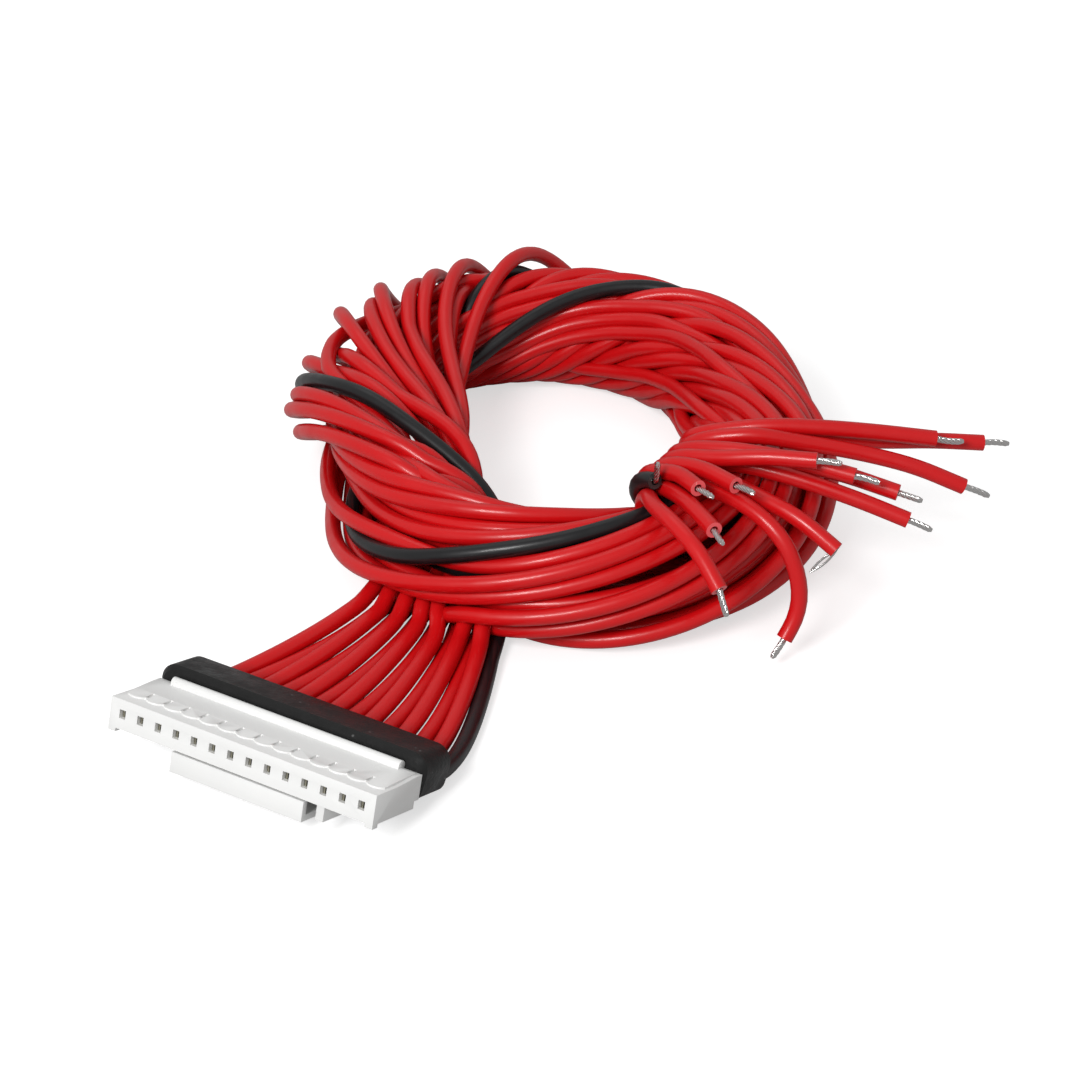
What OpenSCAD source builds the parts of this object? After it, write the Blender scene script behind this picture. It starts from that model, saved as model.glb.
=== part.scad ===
// Battery balance wire harness: a row connector with crimped contacts, a shrink
// sleeve, and a set of hook-up wires wound into one oval wreath, with stripped
// and tinned ends. It lies on a surface at z = 0. The connector rests on its
// latch lever and on the sleeve, so its mating face looks forwards and a little up.

/* [Circuits] */
// Number of circuits, one contact and one wire each
ways = 14; // [6:1:14]
// Distance between neighbouring contacts
pitch = 2; // [1.9:0.05:2.2]
// Outside diameter of a wire's insulation
wire_d = 1.6; // [1.3:0.05:1.65]
// Diameter of the bare, tinned conductor
conductor_d = 0.6; // [0.3:0.05:0.8]
// Clearance round a piece that slides into the plastic
slide_gap = 0.04; // [0.02:0.01:0.08]

/* [Housing] */
// Plastic beyond the first and the last contact
housing_margin = 1.4; // [1.1:0.1:2.5]
// Depth of the housing, from the mating face to its rear
housing_depth = 7; // [6.4:0.1:9]
// Height of the housing above the contacts' centre line
housing_above = 1.35; // [1.2:0.05:2]
// Height of the housing below the contacts' centre line
housing_below = 1.45; // [1.2:0.05:2]
// Depth of the flat rim along the mating face
rim_depth = 1.3; // [0.9:0.1:1.6]
// Step from the rim up to the row of tongues
tongue_step = 0.22; // [0.1:0.02:0.4]
// Length of a tongue, from the rim to its root
tongue_length = 1.9; // [1.2:0.1:2.4]
// Width of the slit between two tongues
slit_w = 0.3; // [0.15:0.05:0.5]
// Height of the rear lip above the deck
lip_rise = 0.8; // [0.2:0.05:1]
// Thickness of the rear lip
lip_w = 1; // [0.6:0.1:1.4]
// Distance of the lip's ends from the housing's ends
lip_inset = 1.9; // [0.5:0.1:3]
// Height of the small feet under the mating face
foot_h = 0.35; // [0.2:0.05:0.6]
// Width of the small feet
foot_w = 0.8; // [0.4:0.1:1.5]

/* [Latch lever] */
// Left end of the latch lever, from the middle of the connector
latch_left = 7.4; // [3:0.1:10]
// Right end of the latch lever, from the middle of the connector
latch_right = 7; // [3:0.1:8]
// Gap between the housing and the lever's press bar
latch_gap = 0.35; // [0.2:0.05:0.8]
// Height of the lever's press bar
latch_h = 1.9; // [1.2:0.1:2.6]
// Wall of the latch lever
latch_wall = 0.6; // [0.4:0.05:0.9]
// Setback of the press bar from the mating face
latch_setback = 0.3; // [0:0.1:1]
// Depth of the latch lever, from the mating face to its root
latch_depth = 6; // [4.5:0.1:6.2]
// Distance from the lever's right end to the guide rib
rib_gap = 1.4; // [0.8:0.1:3]
// Width of the guide rib
rib_w = 0.8; // [0.5:0.1:1.5]
// Height of the guide rib
rib_h = 1.5; // [0.5:0.1:1.8]

/* [Contacts] */
// Width and height of a contact's box
contact_size = 1.16; // [1:0.02:1.2]
// Setback of a contact from the mating face
contact_setback = 0.55; // [0.4:0.05:1]
// Length of a contact's box
contact_box_l = 3.4; // [2.5:0.1:3.8]
// Width of the square pin hole
pin_hole_w = 0.66; // [0.5:0.02:0.8]
// Height of the square pin hole
pin_hole_h = 0.8; // [0.5:0.02:0.9]
// Diameter of the crimp barrel
crimp_d = 1; // [0.8:0.05:1.1]
// Length of the crimp barrel
crimp_l = 1.5; // [1:0.1:2]

/* [Shrink sleeve] */
// Reach of each end of the sleeve past the housing's end
sleeve_over = 0.2; // [0:0.1:0.5]
// Thickness of the sleeve in its middle
sleeve_h = 5.3; // [4.6:0.1:6]
// Thickness of the sleeve's round ends
sleeve_tip = 3.2; // [2.8:0.1:3.6]
// Wall of the sleeve under the first and the last wire
sleeve_wall = 0.5; // [0.3:0.1:0.7]
// Length of the sleeve along the wires
sleeve_l = 4.7; // [3:0.1:12]
// Rounding of the sleeve's open edges
sleeve_edge = 0.5; // [0.2:0.1:0.9]
// Height of the sleeve's middle above the wires' centre line
sleeve_rise = 0.5; // [0.2:0.1:0.6]

/* [Wreath of wire] */
// Radius of the wreath's two round ends, to the middle of the bundle
coil_r = 20; // [17:0.5:22]
// Length of the straight between the two round ends
coil_straight = 13; // [8:1:20]
// Diameter of the bundle
bundle_d = 13.2; // [12.6:0.2:14]
// Thickness of the layer that wraps over one side
wrap_t = 1.5; // [0.8:0.1:2]
// Depth by which the bundle is flattened where it lies
bundle_flat = 0.4; // [0.2:0.1:0.8]
// Turn of the wreath's long axis, away from straight back
coil_turn = 45; // [40:1:50]
// Sideways position of the wreath's middle
coil_x = -6; // [-8:0.5:-4]
// Position of the wreath's middle behind the connector's middle
coil_y = 56; // [54:0.5:60]

/* [Where the leads go in] */
// Sideways position of the leads, from the middle of the wreath's front end
entry_shift = -0.2; // [-2:0.1:2]
// Distance of the leads' entry behind the wreath's foremost point
entry_under = 0.5; // [0:0.1:0.6]
// Sideways distance between neighbouring leads, in two layers
entry_pitch = 1.15; // [1:0.05:1.3]
// Height between the two layers of leads
entry_layer = 1.3; // [1.2:0.05:1.5]

/* [Where the tails come out] */
// Distance of the face that the tails leave, past the bundle's inner edge
exit_inset = 0.5; // [0.3:0.1:1]
// Distance of the first tail in front of the middle of the wreath's front end
exit_ahead = 9.9; // [9.5:0.1:10.5]
// Distance between neighbouring tails
exit_pitch = 1.75; // [1.7:0.05:1.8]
// Height of the lower layer of tails above the bundle
exit_rise = 0.2; // [0.2:0.1:0.5]
// Height between the two layers of tails
exit_layer = 1.7; // [1.65:0.05:1.8]

/* [Hidden] */
$fn = 48;
tube_sides = 8;
bend_fn = 32;
window_h = pin_hole_h + 0.02;
window_w = pin_hole_w + 0.02;
row_l = (ways - 1) * pitch;
housing_l = row_l + 2 * housing_margin;
cell = contact_size + 2 * slide_gap;
contact_end = contact_setback + contact_box_l;
crimp_end = contact_end + crimp_l;
wire_bore_d = wire_d + 2 * slide_gap;
deck_front = rim_depth;
deck_z = housing_above + tongue_step;
lip_y = housing_depth - lip_w;
sleeve_end = housing_depth + sleeve_l;
sleeve_w = housing_l + 2 * sleeve_over;
latch_top = -housing_below - latch_gap;
latch_bottom = latch_top - latch_h;
sleeve_bottom = sleeve_rise - sleeve_h / 2;
sleeve_foot = sleeve_end - sleeve_edge;

// The connector leans back until the latch's rear corner and the sleeve's rear
// edge touch the surface together.
lean = atan((sleeve_bottom - latch_bottom) / (sleeve_foot - latch_depth));
lift = latch_depth * sin(lean) - latch_bottom * cos(lean);
function forth(y, z) = y * cos(lean) + z * sin(lean);
function aloft(y, z) = lift - y * sin(lean) + z * cos(lean);
front_reach = min(
    forth(0, -housing_below - foot_h), forth(latch_setback, latch_bottom));
sleeve_top = sleeve_rise + sleeve_h / 2;
rear_reach = max(
    forth(sleeve_end, sleeve_top - sleeve_edge), forth(sleeve_end - sleeve_edge, sleeve_top));
middle_y = (front_reach + rear_reach) / 2;

// The middle of the wreath's front round end, and the top of the bundle.
front_x = coil_x + coil_straight / 2 * sin(coil_turn);
front_y = coil_y - coil_straight / 2 * cos(coil_turn);
bundle_top = bundle_d - bundle_flat;
entry_x = front_x + entry_shift;
entry_y = front_y - coil_r - bundle_d / 2 + entry_under;
exit_at = [front_x + coil_r - bundle_d / 2 + exit_inset, front_y - exit_ahead, bundle_top];

function two(i) = i < 10 ? str("0", i) : str(i);
function way_x(i) = (i - (ways + 1) / 2) * pitch;
function seated(p) = [p[0], forth(p[1], p[2]) - middle_y, aloft(p[1], p[2])];

// A lead runs straight out of the sleeve, then bends over to its place in two
// layers under the wreath.
lead_out = 5;
lead_in = 7;
lead_steps = 4;
function entry_point(i) = [
    entry_x + (i - (ways + 1) / 2) * entry_pitch, entry_y,
    wire_d / 2 + 0.05 + (i % 2) * entry_layer];
function bend(a, b, c, d, t) =
    pow(1 - t, 3) * a + 3 * t * pow(1 - t, 2) * b + 3 * t * t * (1 - t) * c + t * t * t * d;
function lead_route(i) =
    let (
        start = seated([way_x(i), sleeve_end, 0]),
        out = seated([way_x(i), sleeve_end + lead_out, 0]),
        end = entry_point(i),
        in = end - [0, lead_in, 0])
    concat(
        [seated([way_x(i), crimp_end, 0])],
        [for (k = [0:lead_steps]) bend(start, out, in, end, k / lead_steps)]);

// Each tail: its place on the exit face (slot, layer), the points along its run,
// and the far end of its bare conductor. The points are measured from the first
// slot of the exit face, at the top of the bundle.
tails = [
    [6, 1, [[5.5, 13.1, 3.1], [9.5, 15.7, 3], [14.5, 19.1, 2.4], [19.5, 22.8, 1.4]], [21.8, 24.3, 1.1]],
    [6, 0, [[5.5, 14.7, 1.5], [9.5, 17.5, 1.3], [14, 20.6, 0.6], [18.5, 24.3, 0.2], [22.5, 27.4, -0.3]],
        [24.6, 28.9, -0.5]],
    [5, 1, [[5.5, 11, 3.1], [9.5, 13.8, 2.2], [14.2, 17, 1], [19, 19.5, -0.3], [23.3, 21.8, -2.3]],
        [25.5, 23, -3.3]],
    [3, 1, [[5.5, 5.4, 3.2], [9.5, 6.5, 4], [14.2, 8.2, 4.2]], [16.4, 9, 4.2]],
    [4, 1, [[5.5, 7.5, 3.1], [11.5, 9.1, 3], [17, 10.7, 2.2]], [19.3, 11.4, 1.8]],
    [5, 0, [[5.5, 10, 1.4], [9.5, 11.2, 1.3], [14.5, 12.7, 0.8], [20, 14.1, -0.3]], [22.3, 14.7, -0.8]],
    [4, 0, [[5.5, 8.1, 1.3], [9.5, 9.2, 1], [13.5, 10.4, 0.2], [17.5, 11.7, -0.9], [21.7, 13.1, -2.3]],
        [23.9, 13.8, -3.1]],
    [1, 1, [[3.5, 0.7, 3.1], [6.7, -1.1, 3.4]], [8.8, -2, 3.5]],
    [2, 1, [[4.5, 2.8, 3.1], [9.5, 1.1, 3.5]], [11.8, 0.5, 3.6]],
    [1, 0, [[1.9, 0.9, 1], [4.5, -0.7, 1.7], [7.5, -2.9, 2.2], [10.8, -5.2, 2.2]], [12.5, -6.5, 1.9]],
    [3, 0, [[5.5, 4.8, 1.3], [10.5, 3.8, 1.3], [15, 3.4, 0.5], [19.1, 3.4, -1.6]], [17.7, 0.9, -3.2]],
    [0, 0, [[1.3, -1.1, 0.9], [3, -3.1, 1.5], [6.9, -5.9, 2], [10.5, -7.6, 1], [13.7, -9.1, -1.3]],
        [14.9, -9.7, -3.4]],
    [2, 0, [[5.5, 2.7, 1.3], [11, 1.5, 1.2], [14.7, 1, -0.8], [16.5, 1, -4.5], [16.8, 0.5, -7.8],
        [16.3, -0.9, -10]], [15.9, -2.5, -11.4]],
    [0, 1, [[1.8, -0.7, 2.5]], [2.3, -1.1, 4.8]]];
// The last tail is the black wire's, whatever the number of circuits.
function tail_of(i) = tails[i == ways ? len(tails) - 1 : i - 1];
function tail_points(i) =
    let (slot = [0, tail_of(i)[0] * exit_pitch, exit_rise + tail_of(i)[1] * exit_layer])
    [for (p = concat([slot], tail_of(i)[2])) exit_at + p];
function tail_end(i) = exit_at + tail_of(i)[2][len(tail_of(i)[2]) - 1];
// The way that a tail points where its insulation ends.
function tail_way(i) = unit(tail_end(i) - tail_points(i)[len(tail_of(i)[2]) - 1]);
function bare_tip(i) = exit_at + tail_of(i)[3];

function unit(v) = v / norm(v);
// Direction of a route at point k: the given ways at its two ends, and halfway
// between its neighbours inside.
function heading(points, k, first, last) =
    k == 0 ? first :
    k == len(points) - 1 ? last :
    unit(unit(points[k + 1] - points[k]) + unit(points[k] - points[k - 1]));

// A plain tube along a route: one ring of corners at each point, flat ends.
module round_tube(points, d, first, last, across) {
    n = tube_sides;
    rings = len(points);
    corners = [for (k = [0:rings - 1])
        let (
            h = heading(points, k, first, last),
            u = unit(cross(h, across)),
            v = cross(h, u))
        for (j = [0:n - 1])
            points[k] + d / 2 * (cos(360 * j / n) * u + sin(360 * j / n) * v)];
    walls = [for (k = [0:rings - 2], j = [0:n - 1], side = [0, 1])
        let (a = k * n + j, b = k * n + (j + 1) % n)
        side == 0 ? [a, a + n, b] : [b, a + n, b + n]];
    caps = [[for (j = [0:n - 1]) j], [for (j = [n - 1:-1:0]) (rings - 1) * n + j]];
    polyhedron(points = corners, faces = concat(walls, caps));
}

// Puts what is drawn in the connector's own frame (mating face at y = 0, contacts
// at z = 0) where it lies on the surface.
module on_the_surface() {
    translate([0, -middle_y, lift]) rotate([-lean, 0, 0]) children();
}

// Extrudes a side view, drawn in the Y-Z plane, from one X to another.
module side_profile(x_from, x_to) {
    translate([x_from, 0, 0]) rotate([90, 0, 90]) linear_extrude(x_to - x_from) children();
}

module connector_housing() {
    color("white") on_the_surface() difference() {
        union() {
            housing_block();
            tongue_row();
            latch_lever();
            for (side = [-1, 1]) corner_foot(side);
            side_profile(latch_right + rib_gap, latch_right + rib_gap + rib_w)
                translate([latch_setback, -housing_below - rib_h])
                    square([latch_depth - latch_setback, rib_h + 0.1]);
        }
        for (i = [1:ways]) translate([way_x(i), 0, 0]) contact_cavity();
        for (i = [0:ways]) translate([way_x(i) + pitch / 2, 0, 0]) tongue_slit(i);
        end_notches();
    }
}

// The long block: flat rim in front, deck that climbs to the rear, rounded lip.
module housing_block() {
    side_profile(-housing_l / 2, housing_l / 2)
        polygon([
            [0, -housing_below], [housing_depth, -housing_below],
            [housing_depth, deck_z], [lip_y, deck_z],
            [deck_front + tongue_length, housing_above], [0, housing_above]]);
    side_profile(-housing_l / 2 + lip_inset, housing_l / 2 - lip_inset) {
        translate([lip_y, 0]) square([lip_w, deck_z + lip_rise - lip_w / 2]);
        translate([lip_y + lip_w / 2, deck_z + lip_rise - lip_w / 2]) circle(d = lip_w);
    }
}

// The row of locking tongues: each has a bowed front edge on the deck.
module tongue_row() {
    tongue_r = pitch * 0.62;
    for (i = [1:ways]) intersection() {
        translate([way_x(i), deck_front + tongue_r, 0])
            cylinder(r = tongue_r, h = deck_z);
        side_profile(way_x(i) - pitch / 2, way_x(i) + pitch / 2)
            polygon([
                [deck_front, 0], [deck_front + tongue_length, 0],
                [deck_front + tongue_length, deck_z], [deck_front, deck_z - tongue_step / 3]]);
    }
    side_profile(-housing_l / 2 + housing_margin - pitch / 2, housing_l / 2 - housing_margin + pitch / 2)
        polygon([
            [deck_front + tongue_length / 2, 0], [lip_y + lip_w / 2, 0],
            [lip_y + lip_w / 2, deck_z + lip_rise / 6], [deck_front + tongue_length, deck_z],
            [deck_front + tongue_length / 2, deck_z - tongue_step / 6]]);
}

module tongue_slit(i) {
    if (i > 0 && i < ways)
        translate([-slit_w / 2, deck_front + tongue_length * 0.35, deck_z - tongue_step - slit_w])
            cube([slit_w, tongue_length * 0.6, tongue_step + 2 * slit_w]);
}

// The lever under the housing: root at the rear, floor plate, press bar in front.
module latch_lever() {
    side_profile(-latch_left, latch_right)
        polygon([
            [latch_setback, latch_top], [latch_setback, latch_bottom],
            [latch_depth, latch_bottom], [latch_depth, -housing_below + 0.1],
            [latch_depth - latch_wall, -housing_below + 0.1],
            [latch_depth - latch_wall, latch_bottom + latch_wall],
            [latch_setback + latch_wall, latch_bottom + latch_wall],
            [latch_setback + latch_wall, latch_top]]);
}

module corner_foot(side) {
    translate([side * (housing_l / 2 - foot_w / 2), 0, -housing_below - foot_h])
        translate([-foot_w / 2, 0, 0]) cube([foot_w, foot_w, foot_h + 0.1]);
}

// Small steps at the rear lower corners of both ends.
module end_notches() {
    notch = 0.7;
    for (side = [-1, 1])
        translate([side * housing_l / 2, housing_depth, -housing_below])
            cube([2 * notch, 2 * notch, 2 * notch], center = true);
}

// Pin window, contact chamber, crimp chamber and wire bore, from front to rear.
module contact_cavity() {
    translate([-window_w / 2, -1, -window_h / 2]) cube([window_w, contact_setback + 1.1, window_h]);
    translate([-cell / 2, contact_setback - slide_gap, -cell / 2])
        cube([cell, contact_box_l + 2 * slide_gap, cell]);
    translate([0, contact_end, 0]) rotate([-90, 0, 0])
        cylinder(d = crimp_d + 2 * slide_gap, h = crimp_l + slide_gap);
    translate([0, crimp_end, 0]) rotate([-90, 0, 0]) cylinder(d = wire_bore_d, h = housing_depth);
}

// A crimped contact: box with a through pin hole, an inspection slot, and the
// closed barrel that grips the conductor.
module contact(i) {
    spring_slot = 0.24;
    color("goldenrod") on_the_surface() translate([way_x(i), 0, 0]) {
        difference() {
            translate([-contact_size / 2, contact_setback, -contact_size / 2])
                cube([contact_size, contact_box_l, contact_size]);
            translate([-pin_hole_w / 2, 0, -pin_hole_h / 2])
                cube([pin_hole_w, contact_end - 0.3, pin_hole_h]);
            translate([-spring_slot / 2, contact_setback + 0.8, 0])
                cube([spring_slot, contact_box_l / 2, contact_size]);
        }
        translate([0, contact_end - 0.1, 0]) rotate([-90, 0, 0]) cylinder(d = crimp_d, h = crimp_l + 0.1);
    }
}

// The sleeve shrunk over the wires behind the housing, with one bore for each.
module shrink_sleeve() {
    color([0.13, 0.13, 0.14]) on_the_surface() difference() {
        hull() {
            translate([0, housing_depth, 0]) sleeve_slab(sleeve_edge, sleeve_l);
            translate([0, housing_depth + sleeve_edge, 0]) sleeve_slab(0, sleeve_l - 2 * sleeve_edge);
        }
        for (i = [1:ways]) translate([way_x(i), housing_depth - 1, 0]) rotate([-90, 0, 0])
            cylinder(d = wire_bore_d, h = sleeve_l + 2);
    }
}

// A slice of the sleeve: level on top, round at both ends, with a flat belly that
// is narrower than the row of wires.
module sleeve_slab(inset, depth) {
    wall_r = wire_bore_d / 2 + sleeve_wall;
    belly_w = row_l - 2 * pitch;
    translate([0, depth, 0]) rotate([90, 0, 0]) linear_extrude(depth) hull() {
        for (side = [-1, 1]) {
            translate([side * (sleeve_w - sleeve_tip) / 2, sleeve_top - sleeve_tip / 2])
                circle(d = sleeve_tip - 2 * inset, $fn = bend_fn);
            translate([side * row_l / 2, 0]) circle(r = wall_r - inset, $fn = bend_fn);
        }
        translate([-belly_w / 2, sleeve_bottom + inset]) square([belly_w, sleeve_tip / 2]);
    }
}

// The outer shape of the wound wires: an oval wreath of round section, flattened
// where it lies, with a thicker stretch where the wires wrap over its left side.
module wire_coil() {
    color("firebrick") intersection() {
        union() {
            translate([coil_x, coil_y, bundle_d / 2 - bundle_flat]) rotate([0, 0, coil_turn]) {
                for (end = [0, 180]) rotate([0, 0, end]) {
                    round_end(bundle_d, 0, 180);
                    straight_side(bundle_d);
                }
                round_end(bundle_d + 2 * wrap_t, 75, 105);
                rotate([0, 0, 180]) straight_side(bundle_d + 2 * wrap_t);
            }
            lead_run();
            tail_knuckle();
        }
        translate([coil_x, coil_y, bundle_d])
            cube([6 * coil_r, 6 * coil_r, 2 * bundle_d], center = true);
    }
}

module round_end(d, start, sweep) {
    translate([0, coil_straight / 2, 0]) rotate([0, 0, start])
        rotate_extrude(angle = sweep) translate([coil_r, 0]) circle(d = d);
}

module straight_side(d) {
    translate([coil_r, coil_straight / 2, 0]) rotate([90, 0, 0])
        linear_extrude(coil_straight) circle(d = d);
}

// The leads' flat run under the wreath; the lead tubes meet its front face.
module lead_run() {
    run_w = (ways - 1) * entry_pitch + wire_d;
    run_h = wire_d + entry_layer + 0.1;
    translate([entry_x - run_w / 2, entry_y, 0]) cube([run_w, bundle_d / 2, run_h]);
}

// The rounded bend where the bundle comes up through the wreath and turns over
// its inner edge; the tail tubes leave its right-hand face.
module tail_knuckle() {
    knuckle_w = 6 * exit_pitch + wire_d;
    top = bundle_top + exit_rise + exit_layer + wire_d / 2 + 0.1;
    knuckle_r = 6;
    translate([exit_at[0], exit_at[1] - wire_d / 2 + knuckle_w, 0]) rotate([90, 0, 0]) linear_extrude(knuckle_w) {
        intersection() {
            translate([0, top - knuckle_r]) circle(r = knuckle_r);
            translate([-knuckle_r, 0]) square([knuckle_r, top]);
        }
        translate([-knuckle_r, 0]) square([knuckle_r, top - knuckle_r]);
    }
}

module lead(i) {
    color(i == ways ? [0.12, 0.12, 0.13] : [0.8, 0.1, 0.12])
        round_tube(lead_route(i), wire_d, [0, cos(lean), -sin(lean)], [0, 1, 0], [1, 0, 0]);
}

module tail(i) {
    color(i == ways ? [0.12, 0.12, 0.13] : [0.8, 0.1, 0.12])
        round_tube(tail_points(i), wire_d, [1, 0, 0], tail_way(i), [0, 1, 0]);
}

// The tinned conductor past the insulation: a short stub out of the cut face, an
// elbow, then the free end.
module bare_end(i) {
    elbow = tail_end(i) + conductor_d * tail_way(i);
    color("silver") round_tube(
        [tail_end(i), elbow, bare_tip(i)], conductor_d, tail_way(i), unit(bare_tip(i) - elbow), [0, 1, 0]);
}

connector_housing();
shrink_sleeve();
wire_coil();
for (i = [1:ways]) {
    contact(i);
    lead(i);
    tail(i);
    bare_end(i);
}
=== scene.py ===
import bpy, bmesh, math
import numpy as np
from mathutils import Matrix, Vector


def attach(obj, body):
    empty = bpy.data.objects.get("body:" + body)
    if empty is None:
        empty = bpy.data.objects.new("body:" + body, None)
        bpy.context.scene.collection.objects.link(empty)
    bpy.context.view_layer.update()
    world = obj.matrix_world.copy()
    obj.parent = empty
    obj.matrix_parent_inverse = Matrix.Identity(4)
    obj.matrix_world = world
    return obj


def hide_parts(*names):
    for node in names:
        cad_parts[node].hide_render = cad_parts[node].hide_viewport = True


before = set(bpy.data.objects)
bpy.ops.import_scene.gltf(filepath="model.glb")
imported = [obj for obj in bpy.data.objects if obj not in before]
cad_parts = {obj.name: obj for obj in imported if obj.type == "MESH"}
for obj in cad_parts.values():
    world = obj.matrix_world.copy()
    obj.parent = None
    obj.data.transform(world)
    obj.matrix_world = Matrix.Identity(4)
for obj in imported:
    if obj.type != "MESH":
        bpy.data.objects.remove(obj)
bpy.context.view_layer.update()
scene = bpy.context.scene

# ---- Viewpoint ----
# The harness lies on a table and is seen from the front, a little to its right
# and from above, with a long lens.
eye_azimuth, eye_elevation = math.radians(32.5), math.radians(30.5)
eye = bpy.data.objects.new("eye", bpy.data.cameras.new("eye"))
scene.collection.objects.link(eye)
backwards = Vector((math.sin(eye_azimuth) * math.cos(eye_elevation),
                    -math.cos(eye_azimuth) * math.cos(eye_elevation),
                    math.sin(eye_elevation)))
eye.location = (0.1456, -0.1854, 0.1628)
eye.rotation_mode = "QUATERNION"
eye.rotation_quaternion = (-backwards).to_track_quat("-Z", "Y")
eye.data.lens, eye.data.sensor_width = 106.4, 36
eye.data.clip_start, eye.data.clip_end = 0.01, 20
scene.camera = eye

# ---- How the wires lie ----
# Fourteen limp hook-up wires leave the plug side by side, rise inside the ring, fan
# over its left wall and run round it twice more, wound about one another by hand,
# before their ends stick out in front. Sizes in this section are millimetres.
ways, black_way = range(1, 15), 14
wire_thickness = 1.6
ring_radius, ring_straight = 20.0, 13.0
ring_front, ring_rear = np.array([-1.404, 51.404]), np.array([-10.596, 60.596])
quarter_turn = math.pi * ring_radius / 2
lap = 4 * quarter_turn + 2 * ring_straight
lap_knots = [0, quarter_turn, quarter_turn + ring_straight, 3 * quarter_turn + ring_straight,
             3 * quarter_turn + 2 * ring_straight, lap]
lap_headings = [315, 225, 225, 45, 45, -45]
bundle_height = 6.5


def around_ring(along, out, up):
    """A place in the bundle: how far along the ring, outwards and above its middle."""
    at = np.mod(along, lap)
    heading = np.radians(np.interp(at, lap_knots, lap_headings))
    share = np.interp(at, lap_knots, [0, 0, 1, 1, 0, 0])[..., None]
    away = np.stack([np.cos(heading), np.sin(heading)], -1)
    flat = ring_front + (ring_rear - ring_front) * share + away * (ring_radius + out)[..., None]
    return np.concatenate([flat, (bundle_height + up)[..., None]], -1)


def place_in_ring(p):
    """The opposite: outward direction, out, up and along of points in the room."""
    axis = ring_rear - ring_front
    length = np.linalg.norm(axis)
    t = np.clip((p[:, :2] - ring_front) @ axis / length, 0, length)
    d = p[:, :2] - ring_front - np.outer(t / length, axis)
    turn = np.mod(math.radians(lap_headings[0]) - np.arctan2(d[:, 1], d[:, 0]), 2 * math.pi)
    early, late, slack = math.pi / 2, 1.5 * math.pi, 0.02
    along = ring_radius * turn + np.where(
        turn < early + slack, np.where(turn > early - slack, t, 0), ring_straight)
    along = along + np.where(
        turn > late - slack, np.where(turn < late + slack, ring_straight - t, ring_straight), 0)
    r = np.linalg.norm(d, axis=1)
    return d / r[:, None], r - ring_radius, p[:, 2] - bundle_height, along


plug_lean, plug_lift, plug_middle = math.radians(16.5981), 5.2598, 5.6


def at_plug(x, y, z=0.0):
    """From the plug's own axes to the room: it leans forward on its latch."""
    return np.array([x, y * math.cos(plug_lean) + z * math.sin(plug_lean) - plug_middle,
                     plug_lift - y * math.sin(plug_lean) + z * math.cos(plug_lean)])


def limp_run(points, step):
    """A smooth run through the points (centripetal spline)."""
    p = np.asarray(points, float)
    q = np.vstack([2 * p[0] - p[1], p, 2 * p[-1] - p[-2]])
    out = []
    for a, b, c, d in zip(q[:-3], q[1:-2], q[2:-1], q[3:]):
        t0 = 0.0
        t1 = t0 + math.sqrt(max(np.linalg.norm(b - a), 1e-6))
        t2 = t1 + math.sqrt(max(np.linalg.norm(c - b), 1e-6))
        t3 = t2 + math.sqrt(max(np.linalg.norm(d - c), 1e-6))
        n = max(2, int(np.linalg.norm(c - b) / step))
        t = t1 + (t2 - t1) * np.arange(n)[:, None] / n
        e = (t1 - t) / (t1 - t0) * a + (t - t0) / (t1 - t0) * b
        f = (t2 - t) / (t2 - t1) * b + (t - t1) / (t2 - t1) * c
        g = (t3 - t) / (t3 - t2) * c + (t - t2) / (t3 - t2) * d
        h = (t2 - t) / (t2 - t0) * e + (t - t0) / (t2 - t0) * f
        i = (t3 - t) / (t3 - t1) * f + (t - t1) / (t3 - t1) * g
        out.append((t2 - t) / (t2 - t1) * h + (t - t1) / (t2 - t1) * i)
    out.append(p[-1:])
    return np.vstack(out)


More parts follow.
